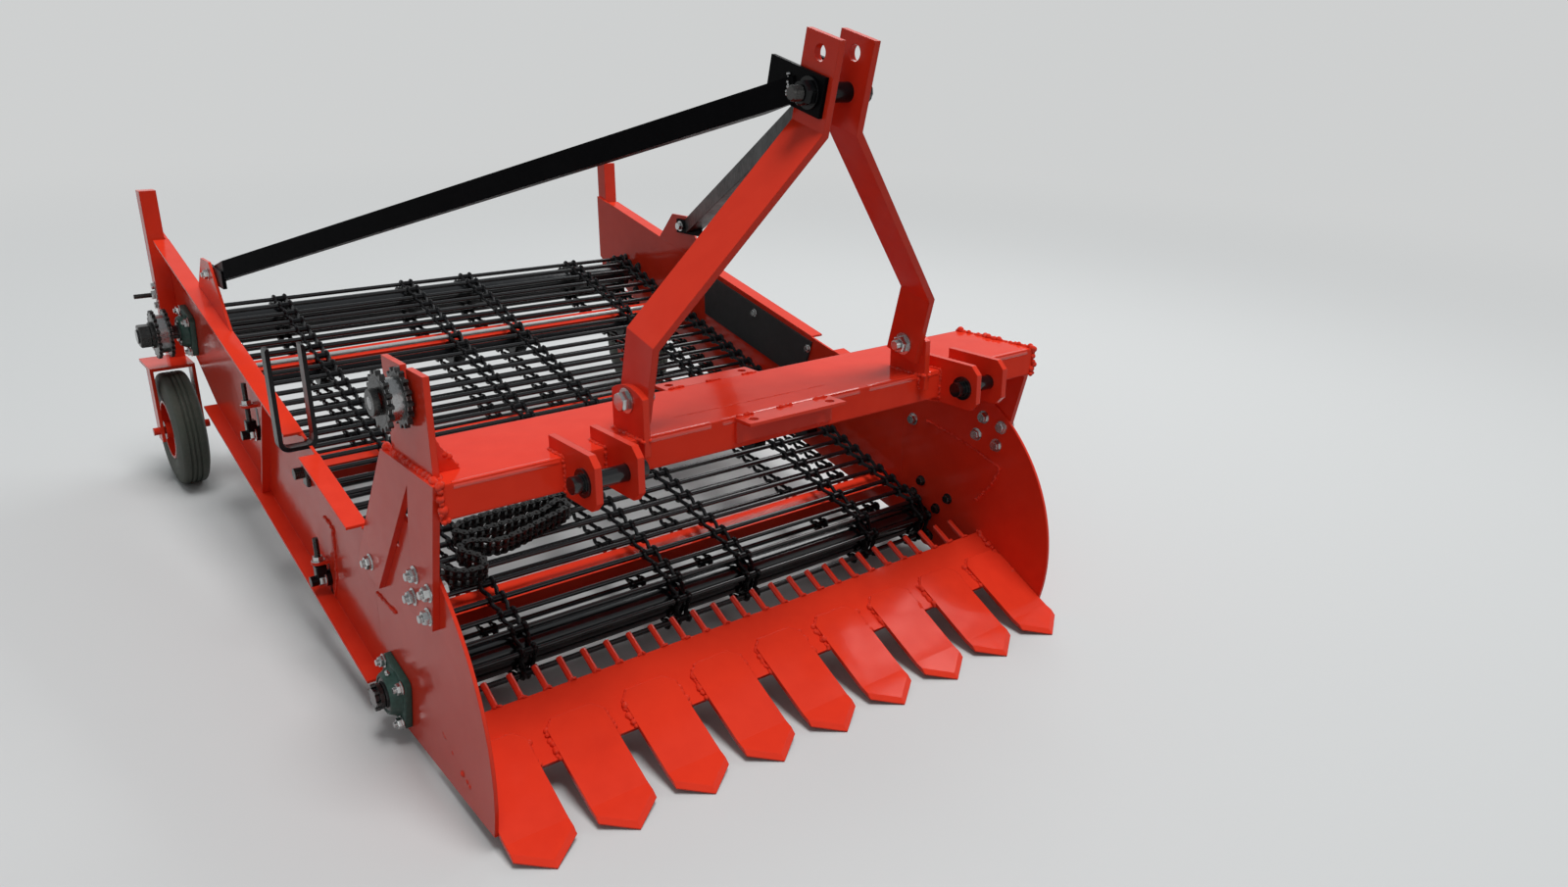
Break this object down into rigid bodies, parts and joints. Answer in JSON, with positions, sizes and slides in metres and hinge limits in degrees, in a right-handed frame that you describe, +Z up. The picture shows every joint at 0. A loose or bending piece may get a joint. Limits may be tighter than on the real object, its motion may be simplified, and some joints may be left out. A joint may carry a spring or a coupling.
{
  "type": "potato digger",
  "caption": "Tractor-mounted potato digger: share points lift the ridge onto an endless rod web between side plates, under a three-point hitch beam with mast and struts, on trailing wheels.",
  "frame": {"origin": "middle of the machine's outer box, on the floor that it is parked on", "axes": "+X across the machine, away from its drive side; -Y towards the tractor and the share points; +Z up"},
  "size_m": [1.545, 2.0401, 1.2131],
  "materials": {
    "red_paint": "gloss",
    "rim_paint": "gloss",
    "black_paint": "gloss",
    "green_casting": "satin",
    "zinc": "bright zinc",
    "dark_steel": "oiled steel",
    "rubber": "matte",
    "tyre": "matte"
  },
  "bodies": {
    "digger": {"main_beam": "red_paint", "end_plate_left": "red_paint", "end_plate_right": "red_paint", "gearbox_mounts": "red_paint", "side_shield_left": "red_paint", "side_shield_right": "red_paint", "side_rail_left": "red_paint", "side_rail_right": "red_paint", "share_plate": "red_paint", "share_points": "red_paint", "finger_bars": "red_paint", "front_roller": "black_paint", "drive_shaft": "black_paint", "web": "black_paint", "web_joints": "black_paint", "support_rollers": "black_paint", "cross_members": "red_paint", "mast_leg_left": "red_paint", "mast_leg_right": "red_paint", "mast_lugs": "red_paint", "mast_spacer": "dark_steel", "strut_left": "black_paint", "strut_right": "black_paint", "strut_tabs": "red_paint", "hitch_clevises": "red_paint", "hitch_pins": "dark_steel", "sprocket_stand": "red_paint", "drive_sprocket": "dark_steel", "roller_bearings": "green_casting", "drive_bearings": "green_casting", "wheel_fork_left": "red_paint", "wheel_fork_right": "red_paint", "rubber_flaps": "rubber", "chain_bracket": "black_paint", "adjusters": "zinc", "drive_chain": "dark_steel"},
    "wheel_left": {"rim_left": "rim_paint", "tyre_left": "tyre"},
    "wheel_right": {"rim_right": "rim_paint", "tyre_right": "tyre"},
    "loose_sprocket": {"loose_sprocket": "dark_steel"}
  },
  "joints": [
    {"name": "wheel_left_spin", "type": "hinge", "parent": "digger", "child": "wheel_left", "pos_m": [-0.6985, 0.86919, 0.15], "axis": [1, 0, 0], "continuous": true},
    {"name": "wheel_right_spin", "type": "hinge", "parent": "digger", "child": "wheel_right", "pos_m": [0.7055, 0.86919, 0.15], "axis": [1, 0, 0], "continuous": true},
    {"name": "loose_sprocket_spin", "type": "hinge", "parent": "digger", "child": "loose_sprocket", "pos_m": [-0.6705, -0.72327, 0.69026], "axis": [1, 0, 0], "continuous": true}
  ]
}
